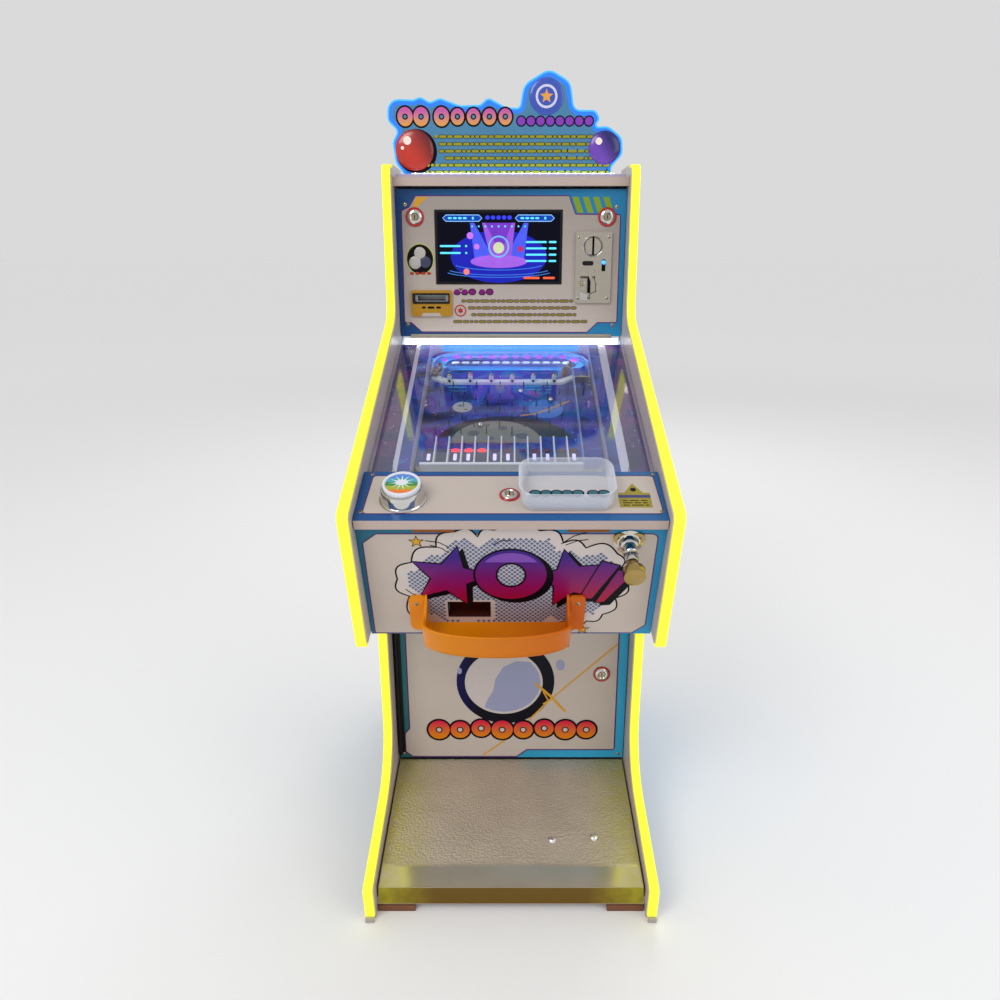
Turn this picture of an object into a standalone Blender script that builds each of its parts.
"""Coin-operated bead pachinko machine for children.

A free-standing cabinet of laminated board with glowing edge strips, a sloping glazed playfield,
a control deck with a push button and a bead hopper, a spring plunger, a payout tray, a hinged
monitor door with the coin and ticket units, a hinged lower door and a steel foot plate.

All sizes below are in millimetres: X across (0 in the middle), Y back from the front of the base,
Z up from the floor. The deck and the playfield share one sloping plane, where S runs up the slope
and N is the height above the deck. The last step of every helper scales to metres and puts the
middle of the depth at Y = 0.
"""
import math

import bmesh
import bpy
from mathutils import Matrix, Vector

MM = 0.001

# Cabinet
HALF_WIDTH = 225.0
PANEL = 16.0                          # side panel thickness
INSIDE = HALF_WIDTH - PANEL           # half the clear width between the side panels
FIT = INSIDE - 0.4                    # half width of the boards between them
BOARD = 15.0                          # thickness of those boards
DEPTH_FRONT, DEPTH_BACK = -23.73, 672.6  # frontmost (plunger knob) and rearmost (power inlet)
BACK = 660.0
MIDDLE_Y = (DEPTH_FRONT + DEPTH_BACK) / 2
SIDE_TOP = 1127.0
STRIP_BOTTOM = 7.0                    # the light strips stop above the floor
STRIP = 5.0                           # how far the light strip stands proud of the side panel
GAP = 0.3                             # clearance between pieces that touch

# Front edge of a side panel from the floor to the top, as (Y, Z, corner radius)
FRONT_EDGE = [(9, STRIP_BOTTOM, 0), (0, 65, 10), (246, 116, 100), (246, 462, 36), (76, 431, 14),
              (4, 662, 14), (511, 869, 45), (523, SIDE_TOP, 18), (560, SIDE_TOP, 0)]

# Sloping deck plane
SLOPE = math.radians(20.5)
DECK_FRONT = (28.0, 648.0)            # (Y, Z) of the deck's front top edge
DECK_LENGTH = 108.0
FACE_S = 6.3                          # outer face of the front panel
FACE_BOTTOM = -226.0
BUTTON = (-146.5, 46.5)               # (X, S) of the push button
DECK_LOCK = (-2.0, 54.0)
HOPPER_X, HOPPER_S = (13.0, 138.0), (18.0, 99.0)
PLUNGER = (158.7, -41.0)              # (X, N) on the front panel
TRAY_X = (-124.0, 84.0)
TRAY_TOP, TRAY_BOTTOM = -158.0, -204.0
TRAY_STRAIGHT, TRAY_BOW = 44.0, 26.0  # straight sides, and how far the front bows beyond them
PAYOUT_X, PAYOUT_N = (-91.0, -30.0), (-188.0, -158.0)
DECK_HINGE = (2.4, -18.6)             # (S, N) of the hinge pins under the deck's front edge

# Playfield
FIELD = -56.0                         # N of the playing surface
FIELD_X = (-150.0, 147.0)
FIELD_S = (180.0, 572.0)
LANE_X = 111.5                        # wall between the field and the launch lane
LANES, LANE_PITCH, LANE_WALL_S = 12, 20.9, (189.0, 262.0)
POST_BAR_S, POSTS, POST_PITCH, POST_X0 = 451.0, 6, 37.7, -110.9
GLASS_N, GLASS_S = -17.0, (109.5, 546.0)

# Monitor door
DOOR_Y, DOOR_Z = 562.0, (829.0, 1088.0)
SCREEN_X, SCREEN_Z = (-139.0, 94.0), (925.0, 1052.0)
MONITOR_LOCK = (174.0, 1041.0)
COIN_X, COIN_Z = (118.0, 184.0), (890.0, 1016.0)
COIN_SLOT = (149.3, 991.0)
TICKET_X, TICKET_Z = (-186.0, -110.0), (866.0, 913.0)
TOP_Z = 1092.5
HEADER_Y, HEADER_BASE = 574.0, 1108.3

# Column, lower door and base
LOWER_Y, LOWER_Z = 296.0, (86.0, 422.5)
LOWER_LOCK = (162.5, 262.0)
LOWER_PIN = (-203.5, 291.2)           # (X, Y) of the lower door's hinge pin
SHELF_Z = 500.0
SKID_X = (150.0, 207.0)
BASE_Z = 11.3
PLATE = [(295.3, 82.0), (66.0, 50.5), (28.0, 45.2), (26.0, 15.2)]  # foot plate, (Y, Z)
PLATE_THICK = 1.5


# ---- Places: each turns an outline's (u, v) and a depth w into X, Y, Z ----
def side(u, v, w):
    """Outline in (Y, Z), depth in X."""
    return w, u, v


def front(u, v, w):
    """Outline in (X, Z), depth in Y."""
    return u, w, v


def top(u, v, w):
    """Outline in (X, Y), depth in Z."""
    return u, v, w


def slope_yz(s, n):
    return (DECK_FRONT[0] + s * math.cos(SLOPE) - n * math.sin(SLOPE),
            DECK_FRONT[1] + s * math.sin(SLOPE) + n * math.cos(SLOPE))


def slope_side(u, v, w):
    """Outline in (S, N), depth in X."""
    return (w, *slope_yz(u, v))


def slope_top(u, v, w):
    """Outline in (X, S), depth in N."""
    return (u, *slope_yz(v, w))


def slope_front(u, v, w):
    """Outline in (X, N), depth in S."""
    return (u, *slope_yz(w, v))


def metres(point):
    x, y, z = point
    return Vector((x, y - MIDDLE_Y, z)) * MM


UP_SLOPE = Vector((0, math.cos(SLOPE), math.sin(SLOPE)))
OFF_SLOPE = Vector((0, -math.sin(SLOPE), math.cos(SLOPE)))
FORWARD = Vector((0, -1, 0))


# ---- Outlines ----
def rounded(corners, steps=6):
    """The open line through (u, v, radius) corners, with an arc of that radius at each inner corner."""
    points = []
    for i, (u, v, radius) in enumerate(corners):
        corner = Vector((u, v))
        if radius == 0:
            points.append(corner)
            continue
        before = (Vector(corners[i - 1][:2]) - corner).normalized()
        after = (Vector(corners[(i + 1) % len(corners)][:2]) - corner).normalized()
        half = before.angle(after) / 2
        centre = corner + (before + after).normalized() * radius / math.sin(half)
        start = corner + before * radius / math.tan(half) - centre
        turn = start.angle_signed(corner + after * radius / math.tan(half) - centre)
        for k in range(steps + 1):
            points.append(centre + Matrix.Rotation(-turn * k / steps, 2) @ start)
    return [tuple(p) for p in points]


def rect(u, v, radius=0.0, steps=3):
    return rounded([(u[0], v[0], radius), (u[1], v[0], radius),
                    (u[1], v[1], radius), (u[0], v[1], radius)], steps)


def shrunk(u, v, margin):
    """A rectangle this much smaller on each side."""
    return rect((u[0] + margin, u[1] - margin), (v[0] + margin, v[1] - margin))


def circle(u, v, radius, steps=24, first=0.0, last=2 * math.pi):
    closed = math.isclose(last - first, 2 * math.pi)
    return [(u + radius * math.cos(first + (last - first) * k / (steps - (not closed))),
             v + radius * math.sin(first + (last - first) * k / (steps - (not closed))))
            for k in range(steps)]


def offset(line, distance):
    """The open line moved to its right by a distance, mitred at each point."""
    moved = []
    for i, point in enumerate(line):
        here = Vector(point)
        before = here - Vector(line[i - 1]) if i else Vector(line[1]) - here
        after = Vector(line[i + 1]) - here if i + 1 < len(line) else before
        before, after = before.normalized(), after.normalized()
        normal = Vector((before.y + after.y, -before.x - after.x)).normalized()
        step = distance / max(normal.dot(Vector((after.y, -after.x))), 0.3)
        moved.append(tuple(here + normal * step))
    return moved


# ---- Solids ----
def material(name, colour, roughness=0.5, metallic=0.0, alpha=1.0, glow=0.0):
    made = bpy.data.materials.get(name)
    if made:
        return made
    made = bpy.data.materials.new(name)
    made.use_nodes = True
    made.diffuse_color = (*colour, alpha)
    shader = made.node_tree.nodes["Principled BSDF"]
    shader.inputs["Base Color"].default_value = (*colour, 1)
    shader.inputs["Roughness"].default_value = roughness
    shader.inputs["Metallic"].default_value = metallic
    shader.inputs["Alpha"].default_value = alpha
    if glow:
        shader.inputs["Emission Color"].default_value = (*colour, 1)
        shader.inputs["Emission Strength"].default_value = glow
    return made


LAMINATE = ("laminate", (0.86, 0.84, 0.78), 0.35)
PRINT = ("printed_board", (0.20, 0.42, 0.60), 0.35)
NEON = ("neon_strip", (0.98, 0.98, 0.12), 0.5, 0.0, 1.0, 1.5)
STEEL = ("stainless_steel", (0.62, 0.61, 0.58), 0.3, 1.0)
CHROME = ("chrome", (0.85, 0.85, 0.86), 0.08, 1.0)
BRASS = ("brass", (0.72, 0.55, 0.28), 0.3, 1.0)
BRONZE = ("bronze_hinge", (0.35, 0.19, 0.10), 0.4, 1.0)
BLACK = ("black_plastic", (0.02, 0.02, 0.025), 0.4)
WHITE = ("white_plastic", (0.85, 0.86, 0.88), 0.35)
ORANGE = ("orange_plastic", (0.85, 0.42, 0.03), 0.2)
YELLOW = ("yellow_plastic", (0.80, 0.62, 0.08), 0.35)
FROSTED = ("frosted_acrylic", (0.75, 0.86, 0.92), 0.4, 0.0, 0.5)
CLEAR = ("clear_acrylic", (0.80, 0.90, 0.98), 0.05, 0.0, 0.3)
GLASS = ("glass", (0.90, 0.96, 1.0), 0.02, 0.0, 0.2)
SKID = ("stained_wood", (0.33, 0.17, 0.08), 0.6)
ZINC = ("zinc_sheet", (0.55, 0.56, 0.58), 0.4, 1.0)
GREEN = ("circuit_board", (0.05, 0.25, 0.12), 0.5)


def solid(name, mesh, look):
    """An object of the bmesh, facing out, in its own material. A cutter has no look and is hidden."""
    bmesh.ops.recalc_face_normals(mesh, faces=mesh.faces)
    data = bpy.data.meshes.new(name)
    mesh.to_mesh(data)
    mesh.free()
    made = bpy.data.objects.new(name, data)
    bpy.context.scene.collection.objects.link(made)
    if look:
        data.materials.append(material(f"{name}_{look[0]}", *look[1:]))
    else:
        made.hide_render = True
        made.display_type = 'WIRE'
    return made


def prism(name, outline, depth, place, look=None):
    """The closed outline drawn out between two depths."""
    mesh = bmesh.new()
    ends = [[mesh.verts.new(metres(place(u, v, w))) for u, v in outline] for w in depth]
    mesh.faces.new(ends[0])
    mesh.faces.new(ends[1])
    for i in range(len(outline)):
        mesh.faces.new([ends[0][i - 1], ends[0][i], ends[1][i], ends[1][i - 1]])
    return solid(name, mesh, look)


def box(name, x, y, z, look=None):
    return prism(name, rect(x, y), z, top, look)


def turned(name, profile, centre, axis, look=None, segments=24):
    """The (radius, height) profile turned about an axis through a centre; radius 0 closes it."""
    mesh = bmesh.new()
    turn = Vector(axis).to_track_quat('Z', 'Y')
    rings = []
    for radius, height in profile:
        ring = []
        for k in range(segments if radius else 1):
            angle = 2 * math.pi * k / segments
            spot = Vector((radius * math.cos(angle), radius * math.sin(angle), height))
            ring.append(mesh.verts.new(metres(Vector(centre) + turn @ spot)))
        rings.append(ring)
    open_ends = profile[0][0] == 0
    pairs = list(zip(rings, rings[1:])) if open_ends else list(zip(rings, rings[1:] + rings[:1]))
    for low, high in pairs:
        for k in range(segments):
            corners = [low[k % len(low)], low[(k + 1) % len(low)],
                       high[(k + 1) % len(high)], high[k % len(high)]]
            mesh.faces.new(list(dict.fromkeys(corners)))
    return solid(name, mesh, look)


def combine(target, *tools, operation='DIFFERENCE'):
    """Cuts each tool from the target, or with UNION adds it."""
    for tool in tools:
        boolean = target.modifiers.new(tool.name, 'BOOLEAN')
        boolean.operation = operation
        boolean.solver = 'EXACT'
        boolean.object = tool
        tool.hide_render = True
        tool.display_type = 'WIRE'
    return target


def joined(name, pieces):
    """One helper mesh holding several separate closed shapes."""
    mesh = bmesh.new()
    for piece in pieces:
        mesh.from_mesh(piece.data)
        bpy.data.objects.remove(piece)
    return solid(name, mesh, None)


def moving(name, pivot, nodes):
    """An empty on the joint axis that carries the nodes of one moving body."""
    empty = bpy.data.objects.new(f"{name}_pivot", None)
    empty.location = metres(pivot)
    empty.empty_display_size = 0.02
    bpy.context.scene.collection.objects.link(empty)
    for node in nodes:
        node.parent = empty
        node.matrix_parent_inverse = Matrix.Translation(-empty.location)
    return empty


# ---- Pieces used more than once ----
def cam_lock(name, centre, axis, cam, flange=15.5):
    """A cam lock through a board: the barrel, and the plug that turns in it with its cam behind."""
    barrel = turned(name, [(6.2, 3), (6.2, -22), (9.2, -22), (9.2, -0.3 + GAP), (flange, GAP),
                           (flange, 2), (flange - 1.5, 3.2), (8, 3.2)], centre, axis, CHROME)
    turn = Vector(axis).to_track_quat('Z', 'Y')
    along = turn.inverted() @ Vector(cam)
    plug = turned(f"{name}_plug", [(0, 2.6), (5.7, 2.6), (5.7, -25), (0, -25)], centre, axis, STEEL)
    bar = bmesh.new()
    across = Vector((along.y, -along.x, 0))
    for w in (-22.6, -24.6):
        for u, v in ((-5, -4.5), (26, -4.5), (26, 4.5), (-5, 4.5)):
            spot = along * u + across * v + Vector((0, 0, w))
            bar.verts.new(metres(Vector(centre) + turn @ spot))
    bmesh.ops.convex_hull(bar, input=bar.verts)
    combine(plug, solid(f"{name}_cam_bar", bar, None), operation='UNION')
    return barrel, plug


def hole(name, centre, axis, radius, half_length=30.0, segments=24):
    ends = [(0, -half_length), (radius, -half_length), (radius, half_length), (0, half_length)]
    return turned(name, ends, centre, axis, None, segments)


# ---- Groups ----
def make_side_panels():
    edge = rounded(FRONT_EDGE)
    strip = edge + offset(edge, STRIP)[::-1]
    panel = offset(edge, STRIP + GAP)
    panel.insert(0, (panel[0][0], 0.0))
    panel += [(edge[-1][0] + GAP, panel[-1][1]), (edge[-1][0] + GAP, SIDE_TOP), (BACK, SIDE_TOP),
              (BACK, 0.0)]
    for word, sign in (("left", -1), ("right", 1)):
        prism(f"side_panel_{word}", panel, (sign * INSIDE, sign * HALF_WIDTH), side, LAMINATE)
        prism(f"led_edge_strip_{word}", strip, (sign * (INSIDE + 1.5), sign * (HALF_WIDTH - 0.5)),
              side, NEON)


def make_base():
    for word, sign in (("left", -1), ("right", 1)):
        box(f"skid_{word}", sorted((sign * SKID_X[0], sign * SKID_X[1])), (26.5, 640.0),
            (0.0, BASE_Z - GAP), SKID)
    box("base_board", (-FIT, FIT), (28.9, 641.5), (BASE_Z, BASE_Z + BOARD), LAMINATE)
    prism("foot_plate", PLATE + offset(PLATE[::-1], PLATE_THICK), (-206.0, 206.0), side, STEEL)
    (y0, z0), (y1, z1) = PLATE[0], PLATE[1]
    lean = Vector((0, z1 - z0, y0 - y1)).normalized()
    for word, x, y in (("left", 68.0, 115.5), ("right", 137.5, 120.5)):
        z = z1 + (z0 - z1) * (y - y1) / (y0 - y1)
        turned(f"foot_plate_bolt_{word}", [(0, 4.6), (3.5, 4.1), (6.2, 2.4), (7.2, GAP), (0, GAP)],
               (x, y, z), lean, CHROME, 16)


def make_column():
    door = box("lower_door", (LOWER_PIN[0] - 1.5, FIT - 1.2), (LOWER_Y, LOWER_Y + BOARD), LOWER_Z, PRINT)
    lock_at = (LOWER_LOCK[0], LOWER_Y, LOWER_LOCK[1])
    combine(door, hole("lower_lock_hole", lock_at, FORWARD, 9.6))
    lock, plug = cam_lock("lower_door_lock", lock_at, FORWARD, (1, 0, 0))
    hinge = turned("lower_door_hinge", [(0, 0), (3.0, 0), (3.0, 316), (0, 316)],
                   (*LOWER_PIN, LOWER_Z[0] + 10), (0, 0, 1), STEEL, 12)
    leaf = box("lower_hinge_leaf", (LOWER_PIN[0], LOWER_PIN[0] + 8), (LOWER_Y - 1.6, LOWER_Y - GAP),
               (LOWER_Z[0] + 12, LOWER_Z[0] + 324))
    knuckle_web = box("lower_hinge_web", (LOWER_PIN[0] + 0.4, LOWER_PIN[0] + 2.4),
                      (LOWER_PIN[1], LOWER_Y - 0.6), (LOWER_Z[0] + 12, LOWER_Z[0] + 324))
    combine(hinge, leaf, knuckle_web, operation='UNION')
    moving("lower_door", (*LOWER_PIN, LOWER_Z[0]), [door, lock, hinge])
    moving("lower_door_lock_plug", lock_at, [plug])
    box("column_panel", (-FIT, FIT), (LOWER_Y, LOWER_Y + BOARD), (LOWER_Z[1] + 1.5, SHELF_Z + BOARD), PRINT)
    box("shelf", (-FIT, FIT), (LOWER_Y + BOARD + GAP, BACK - 18.5), (SHELF_Z, SHELF_Z + BOARD), LAMINATE)
    floor = [(128.0, 443.2), (LOWER_Y - 0.5, 473.9), (LOWER_Y - 0.5, 489.1), (122.4, 458.3)]
    prism("cabinet_floor", floor, (-FIT, FIT), side, LAMINATE)


def make_rear():
    panel = box("rear_panel", (-FIT, FIT), (BACK - 18.0, BACK - 3.0), (BASE_Z, TOP_Z - 0.4), LAMINATE)
    slots = [box(f"vent_slot_{k}", (-60, 60), (BACK - 30, BACK + 10), (980 - 14 * k, 986 - 14 * k))
             for k in range(6)]
    inlet_hole = box("inlet_hole", (96.0, 124.0), (BACK - 30, BACK + 10), (86.0, 106.0))
    combine(panel, joined("vent_slots", slots), inlet_hole)
    inlet = prism("power_inlet", rect((85.0, 135.0), (80.0, 112.0), 4), (BACK - 2.7, BACK + 0.5),
                  front, BLACK)
    body = prism("inlet_body", rect((97.0, 123.0), (87.0, 105.0)), (BACK - 34, BACK - 2), front)
    rim = prism("inlet_rim", rect((95.0, 125.0), (85.0, 107.0), 4), (BACK, DEPTH_BACK), front)
    socket = prism("inlet_socket", rect((98.5, 121.5), (88.5, 103.5), 3), (BACK - 16, BACK + 20), front)
    combine(inlet, body, rim, operation='UNION')
    combine(inlet, socket)
    box("top_board", (-FIT, FIT), (548.0, BACK - 18.5), (TOP_Z, TOP_Z + BOARD), LAMINATE)


def make_deck():
    deck = prism("deck_panel", rect((-FIT + 0.6, FIT - 0.6), (0.0, DECK_LENGTH)), (-BOARD, 0.0),
                 slope_top, PRINT)
    button_at, lock_at = slope_top(*BUTTON, 0), slope_top(*DECK_LOCK, 0)
    drop = prism("bead_drop", rect((96.0, 122.0), (38.0, 64.0), 5), (-20, 5), slope_top)
    combine(deck, hole("button_hole", button_at, OFF_SLOPE, 25.0),
            hole("deck_lock_hole", lock_at, OFF_SLOPE, 9.6), drop)
    housing = turned("button_housing", [(23.4, 12), (23.4, -42), (12, -42), (12, -47), (24.6, -47),
                                        (24.6, GAP), (32, GAP), (32, 3), (30, 6), (28.6, 20), (26.2, 20),
                                        (26.2, 12)],
                     button_at, OFF_SLOPE, CHROME, 32)
    cap = turned("button_cap", [(0, 26), (20, 26), (20.8, 27.5), (24, 27.5), (25.5, 26), (25.5, 17),
                                (22.9, 17), (22.9, -24), (0, -24)], button_at, OFF_SLOPE, WHITE, 32)
    lock, plug = cam_lock("deck_lock", lock_at, OFF_SLOPE, UP_SLOPE, flange=13.5)
    rim = rect(HOPPER_X, HOPPER_S, 20, 5)
    bowl = prism("bead_hopper_box", rim, (GAP, 30.0), slope_top, FROSTED)
    inner = rect((HOPPER_X[0] + 3, HOPPER_X[1] - 3), (HOPPER_S[0] + 3, HOPPER_S[1] - 3), 17, 5)
    spout = prism("hopper_spout", rect((99.0, 119.0), (41.0, 61.0), 3), (-14.0, 2.0), slope_top)
    spout_bore = prism("spout_bore", rect((101.0, 117.0), (43.0, 59.0), 2), (-20, 8), slope_top)
    combine(bowl, spout, operation='UNION')
    combine(bowl, prism("hopper_hollow", inner, (3.0, 40.0), slope_top), spout_bore)
    moving("deck", slope_side(*DECK_HINGE, 0), [deck, housing, lock, bowl])
    moving("button", button_at, [cap])
    moving("deck_lock_plug", lock_at, [plug])
    for word, sign in (("left", -1), ("right", 1)):
        x = sorted((sign * 76.0, sign * 131.0))
        leaf = prism(f"deck_hinge_{word}", rect((1.6, 20.0), (-16.0, -15.3)), x, slope_side, BRONZE)
        barrel = prism(f"deck_hinge_barrel_{word}", circle(*DECK_HINGE, 2.8, 12), x, slope_side)
        web = prism(f"deck_hinge_web_{word}", rect((1.6, 3.2), (-18.6, -15.5)), x, slope_side)
        combine(leaf, barrel, web, operation='UNION')


def make_front():
    panel = prism("front_panel", rect((-FIT, FIT), (FACE_BOTTOM, -BOARD - 1.3)),
                  (FACE_S, FACE_S + BOARD), slope_front, PRINT)
    plunger_at = slope_front(*PLUNGER, FACE_S)
    outward = -UP_SLOPE
    slot = prism("payout_slot", rect(PAYOUT_X, PAYOUT_N), (-20, 60), slope_front)
    combine(panel, slot, hole("plunger_hole", plunger_at, outward, 11.0))
    housing = turned("plunger_housing", [(5.2, 30), (5.2, -74), (10.4, -74), (10.4, GAP), (21, GAP),
                                         (20, 3), (14, 6), (11, 8), (10.4, 28), (9.5, 30)],
                     plunger_at, outward, CHROME)
    rod = turned("plunger_rod", [(0, 72), (13, 72), (15, 69.5), (15, 58), (13, 55.5), (8, 55), (8, 46),
                                 (4.7, 44), (4.7, -100), (0, -100)], plunger_at, outward, BRASS)
    moving("plunger", plunger_at, [rod])

    middle, half = (TRAY_X[0] + TRAY_X[1]) / 2, (TRAY_X[1] - TRAY_X[0]) / 2

    def plan(wall, back):
        """The tray seen from above, less a wall: straight sides and a bow across the front, in (X, S)."""
        reach = half - wall
        bow = [(middle + reach * math.cos(math.pi * k / 14),
                FACE_S - TRAY_STRAIGHT + wall - TRAY_BOW * math.sin(math.pi * k / 14)) for k in range(15)]
        return [(middle + reach, back), *bow, (middle - reach, back)]

    tray = prism("payout_tray", plan(0, FACE_S - 0.8), (TRAY_BOTTOM, TRAY_TOP), slope_top, ORANGE)
    ears = [prism(f"tray_ear_{x[0]:.0f}", rect(x, (-212.0, -143.0), 9), (FACE_S - 4.3, FACE_S - GAP),
                  slope_front)
            for x in ((TRAY_X[0] - 23, TRAY_X[0] + 5), (TRAY_X[1] - 5, TRAY_X[1] + 23))]
    combine(tray, *ears, operation='UNION')
    combine(tray, prism("tray_hollow", plan(4, FACE_S + 5), (TRAY_BOTTOM + 4, TRAY_TOP + 40), slope_top))


def make_payout():
    hopper = turned("payout_hopper", [(0, -26), (70, -26), (70, -2), (88, 60), (84, 60), (66, 0), (8, 0),
                                      (8, -4), (0, -4)], (-60.0, 470.0, SHELF_Z + BOARD + 26.5),
                    (0, 0, 1), BLACK, 32)
    disc = turned("payout_disc", [(0, 0), (7, 0), (7, 4), (60, 4), (60, 8), (14, 8), (10, 22), (0, 24)],
                  (-60.0, 470.0, SHELF_Z + BOARD + 24.0), (0, 0, 1), WHITE, 24)
    turns = [k * math.pi / 4 for k in range(8)]
    pockets = [hole(f"disc_pocket_{k}", (-60 + 44 * math.cos(turn), 470 + 44 * math.sin(turn),
                                         SHELF_Z + BOARD + 30), (0, 0, 1), 8.0, segments=10)
               for k, turn in enumerate(turns)]
    combine(disc, joined("disc_pockets", pockets))
    moving("payout_disc", (-60.0, 470.0, SHELF_Z + BOARD + 24.0), [disc])


def make_inside():
    box("power_supply", (60.0, 160.0), (520.0, 620.0), (BASE_Z + BOARD + GAP, 74.0), ZINC)
    board = box("control_board", (-100.0, 80.0), (636.0, 640.5), (560.0, 690.0), GREEN)
    chips = [box(f"chip_{k}", (-80 + 44 * k, -50 + 44 * k), (630.0, 637.0), (590.0, 625.0))
             for k in range(4)]
    combine(board, *chips, operation='UNION')
    outer = rect((-110.0, 30.0), (340.0, 480.0), 8)
    coin_box = prism("coin_box", outer, (BASE_Z + BOARD + GAP, 120.0), top, ZINC)
    combine(coin_box, prism("coin_box_hollow", rect((-108.0, 28.0), (342.0, 478.0), 6), (30.0, 140.0), top))


def make_playfield():
    board = prism("playfield_board", rect(FIELD_X, FIELD_S, 20), (FIELD - 8, FIELD), slope_top, PRINT)
    pins = []
    for row in range(8):
        s = 290 + 21 * row
        for column in range(5 if row % 2 else 6):
            x = -19.3 + (column - (2 if row % 2 else 2.5)) * 42
            pins.append(turned(f"pin_{row}_{column}", [(0, -4), (1.1, -4), (1.1, 13), (0, 13)],
                               slope_top(x, s, FIELD), OFF_SLOPE, None, 6))
    combine(board, joined("pins", pins), operation='UNION')

    outer, inner = rect((-177.0, 177.0), (132.0, 578.0), 30), rect((-151.0, 148.0), (130.0, 573.0), 20)
    frame = prism("playfield_frame", outer, (FIELD - 8, -28.0), slope_top, WHITE)
    flange = prism("frame_flange", rect((-FIT, FIT), (113.0, 596.0)), (-40.0, -34.0), slope_top)
    combine(frame, flange, operation='UNION')
    combine(frame, prism("frame_opening", inner, (FIELD - 20, 0), slope_top))

    lane_floor, lane_top = FIELD + GAP, FIELD + 14
    radius = 34.0
    outside = [(LANE_X, 186.0), (LANE_X, 470.0),
               *circle(LANE_X - radius, 470.0, radius, 8, 0, math.pi / 2)[1:],
               (-90.0, 504.0), *circle(-90.0, 504.0 - radius, radius, 8, math.pi / 2, math.pi)[1:],
               (-90.0 - radius, 460.0)]
    line = offset(outside, 2.5)
    prism("launch_rail", outside + line[::-1], (lane_floor, lane_top), slope_top, CLEAR)
    arch = [(144.0, 470.0), *circle(96.0, 500.0, 48.0, 9, 0, math.pi / 2), (-98.0, 548.0),
            *circle(-98.0, 500.0, 48.0, 9, math.pi / 2, math.pi), (-146.0, 470.0)]
    prism("arch_rail", arch + offset(arch, -2.5)[::-1], (lane_floor, lane_top), slope_top, CLEAR)

    bar = prism("post_bar", rect((POST_X0 - 10, POST_X0 + 5 * POST_PITCH + 10), (448.0, 454.0), 2),
                (FIELD + GAP, FIELD + 5), slope_top, WHITE)
    posts = [turned(f"post_{k}", [(0, 3), (4.2, 3), (4.2, 17), (3.2, 19), (0, 19)],
                    slope_top(POST_X0 + k * POST_PITCH, POST_BAR_S, FIELD), OFF_SLOPE, None, 12)
             for k in range(POSTS)]
    combine(bar, joined("posts", posts), operation='UNION')

    first = -146.0 + 5.3
    comb = prism("lane_dividers", rect((first, LANE_X - 1.0), (184.0, 190.0)), (lane_floor, lane_top),
                 slope_top, WHITE)
    spots = [first + k * LANE_PITCH for k in range(1, LANES)]
    walls = [prism(f"divider_{k}", rect((x - 1.1, x + 1.1), LANE_WALL_S, 1), (lane_floor, lane_top),
                   slope_top)
             for k, x in enumerate(spots)]
    combine(comb, joined("dividers", walls), operation='UNION')

    gate_pin = (129.0, 455.0)
    gate_x = (LANE_X + 3.5, 141.5)
    gate = prism("ball_gate", rect(gate_x, (453.9, 456.1)), (FIELD + 1.2, FIELD + 12), slope_top, STEEL)
    gate_shaft = prism("ball_gate_shaft", circle(gate_pin[1], FIELD + 13, 1.6, 10), gate_x, slope_side)
    combine(gate, gate_shaft, operation='UNION')
    moving("ball_gate", slope_side(gate_pin[1], FIELD + 13, gate_pin[0]), [gate])

    prism("playfield_glass", rect((-207.5, 207.5), GLASS_S), (GLASS_N, GLASS_N + 4), slope_top, GLASS)
    prism("led_light_bar", rect((-200.0, 200.0), (549.5, 556.5)), (-27.5, -18.5), slope_top,
          ("light_bar", (0.95, 0.97, 1.0), 0.4, 0.0, 1.0, 3.0))


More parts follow.
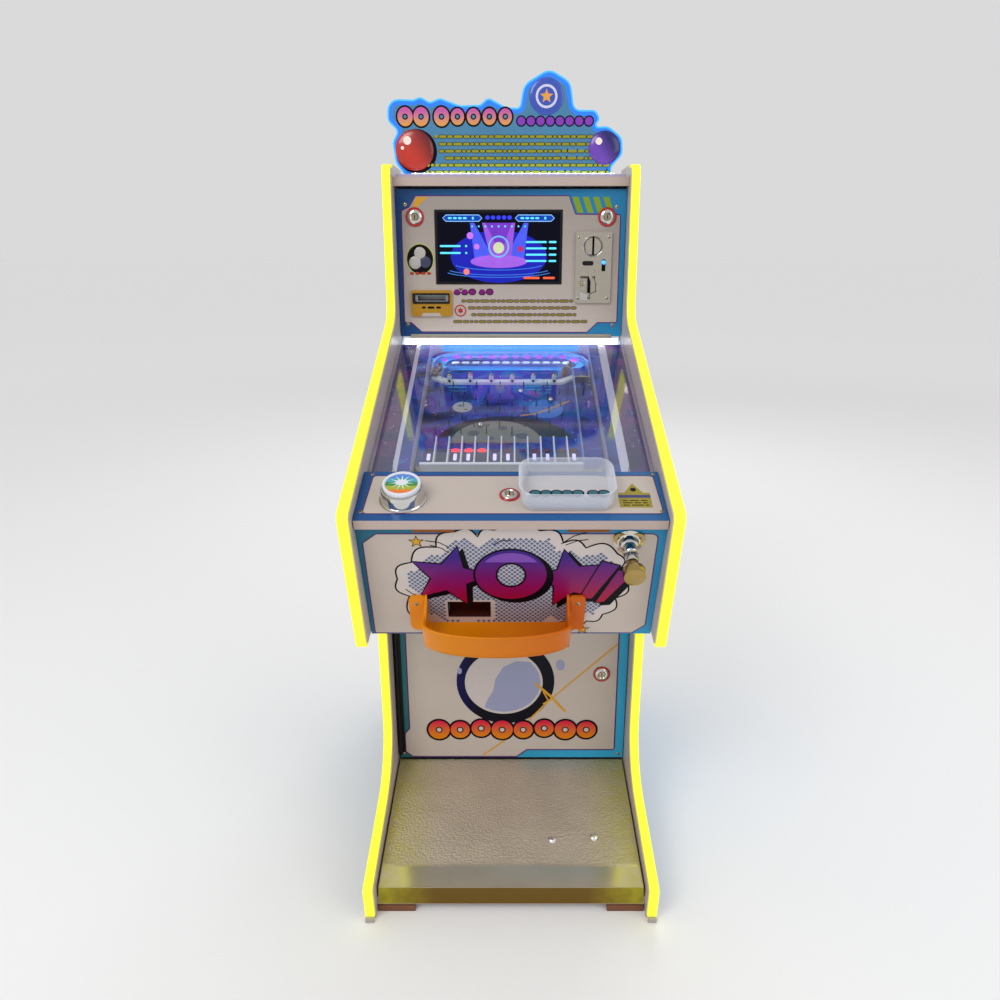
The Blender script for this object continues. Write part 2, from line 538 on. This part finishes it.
def make_monitor_door():
    y = (DOOR_Y, DOOR_Y + BOARD)
    door = box("monitor_door", (-FIT + 0.6, FIT - 0.6), y, DOOR_Z, PRINT)
    through = (DOOR_Y - 20, DOOR_Y + 40)
    window = prism("screen_window", rect(SCREEN_X, SCREEN_Z), through, front)
    coin_hole = prism("coin_hole", shrunk(COIN_X, COIN_Z, 5), through, front)
    ticket_hole = prism("ticket_hole", shrunk(TICKET_X, TICKET_Z, 6), through, front)
    lock_spots = [(sign * MONITOR_LOCK[0], DOOR_Y, MONITOR_LOCK[1]) for sign in (-1, 1)]
    combine(door, window, coin_hole, ticket_hole,
            *(hole(f"monitor_lock_hole_{k}", spot, FORWARD, 9.6) for k, spot in enumerate(lock_spots)))
    nodes = [door]

    screen = prism("lcd_screen", shrunk(SCREEN_X, SCREEN_Z, GAP), (DOOR_Y - 0.6, DOOR_Y + BOARD + 1),
                   front, BLACK)
    rear = prism("screen_rear", shrunk(SCREEN_X, SCREEN_Z, -11),
                 (DOOR_Y + BOARD + 0.4, DOOR_Y + BOARD + 14), front)
    nodes.append(combine(screen, rear, operation='UNION'))

    plate = prism("coin_plate", rect(COIN_X, COIN_Z, 3), (DOOR_Y - 5, DOOR_Y - GAP), front, STEEL)
    x, z = COIN_SLOT
    boss = turned("coin_boss", [(0, -2), (18, -2), (18, 1), (14.5, 5), (0, 6)], (x, DOOR_Y - 5, z), FORWARD)
    combine(plate, boss, operation='UNION')
    cuts = [prism("coin_slot", rect((x - 1.9, x + 1.9), (z - 16, z + 16)), (DOOR_Y - 20, DOOR_Y), front),
            prism("reject_slot", rect((x - 18.5, x + 2), (957.0, 965.0), 3.5), (DOOR_Y - 20, DOOR_Y), front),
            prism("return_opening", rect((x - 22, x + 8), (898.0, 938.0), 2), (DOOR_Y - 20, DOOR_Y), front)]
    combine(plate, *cuts)
    nodes.append(plate)
    mech = prism("coin_mech", shrunk(COIN_X, COIN_Z, 6), (DOOR_Y + 4, DOOR_Y + 62), front, BLACK)
    combine(mech, box("coin_path", (x - 2, x + 2), (DOOR_Y - 5, DOOR_Y + 45), (930, z + 16)),
            box("return_pocket", (x - 22, x + 8), (DOOR_Y - 5, DOOR_Y + 30), (898, 938)),
            box("reject_pocket", (x - 19, x + 2.5), (DOOR_Y - 5, DOOR_Y + 16), (956.5, 965.5)))
    nodes.append(mech)
    reject = prism("coin_reject_button", rect((x - 18.1, x + 1.6), (957.4, 964.6), 3.3),
                   (DOOR_Y - 6.5, DOOR_Y + 8), front, BLACK)
    flap_x = (x - 21.4, x + 7.4)
    flap = box("coin_return_flap", flap_x, (DOOR_Y + 1.2, DOOR_Y + 2.6), (899.5, 935.5), STEEL)
    flap_shaft = prism("flap_shaft", circle(DOOR_Y + 1.9, 935.2, 1.5, 10), flap_x, side)
    combine(flap, flap_shaft, operation='UNION')

    bezel = prism("ticket_bezel", rect(TICKET_X, TICKET_Z, 4), (DOOR_Y - 5, DOOR_Y - GAP), front, YELLOW)
    mouth = prism("ticket_mouth", rect((TICKET_X[0] + 5, TICKET_X[1] - 6), (892.0, 905.0)),
                  (DOOR_Y - 20, DOOR_Y), front)
    nodes.append(combine(bezel, mouth))
    dispenser = prism("ticket_dispenser", shrunk(TICKET_X, TICKET_Z, 7), (DOOR_Y + 4, DOOR_Y + 60),
                      front, ZINC)
    path = box("ticket_path", (TICKET_X[0] + 12, TICKET_X[1] - 12), (DOOR_Y, DOOR_Y + 40), (894, 903))
    nodes.append(combine(dispenser, path))

    hinge_at = (DOOR_Y - 2.6, DOOR_Z[0] - 3.4)
    hinge = prism("monitor_door_hinge", circle(*hinge_at, 2.6, 12), (-190.0, 190.0), side, STEEL)
    leaf = prism("monitor_hinge_leaf", rect((DOOR_Y - 1.5, DOOR_Y - GAP), (DOOR_Z[0] - 4, DOOR_Z[0] + 4)),
                 (-189.0, 189.0), side)
    nodes.append(combine(hinge, leaf, operation='UNION'))

    for word, spot in zip(("left", "right"), lock_spots):
        lock, plug = cam_lock(f"monitor_lock_{word}", spot, FORWARD, (0, 0, -1))
        nodes.append(lock)
        moving(f"monitor_lock_{word}_plug", spot, [plug])
    moving("monitor_door", (0, *hinge_at), nodes)
    moving("coin_reject", (x - 8, DOOR_Y, 961.0), [reject])
    moving("coin_return_flap", (x - 7, DOOR_Y + 1.9, 935.2), [flap])


def make_header():
    """The die-cut sign: round lobes at both ends, a wavy top edge and a domed bump right of the middle."""
    corners = [(-188, HEADER_BASE, 4), (-206, 1132, 18), (-210, 1166, 16), (-200, 1184, 8), (-217, 1200, 12),
               (-217, 1236, 20), (-171, 1234, 8), (-158, 1239, 10), (-142, 1230, 8), (-124, 1237, 12),
               (-90, 1225, 24), (-54, 1226, 10), (-40, 1238, 10), (-8, 1222, 14), (15, 1221, 6),
               (22, 1258, 26), (66, 1283, 24), (104, 1262, 24), (111, 1218, 12), (148, 1218, 10),
               (157, 1204, 8), (148, 1191, 3), (172, 1192, 20), (197, 1174, 20), (199, 1146, 18),
               (180, 1126, 6), (180, HEADER_BASE, 3)]
    prism("header_panel", rounded(corners, 4), (HEADER_Y, HEADER_Y + 6), front, CLEAR)


def main():
    for old in list(bpy.data.objects):
        bpy.data.objects.remove(old)
    make_side_panels()
    make_base()
    make_column()
    make_rear()
    make_deck()
    make_front()
    make_payout()
    make_inside()
    make_playfield()
    make_monitor_door()
    make_header()


main()
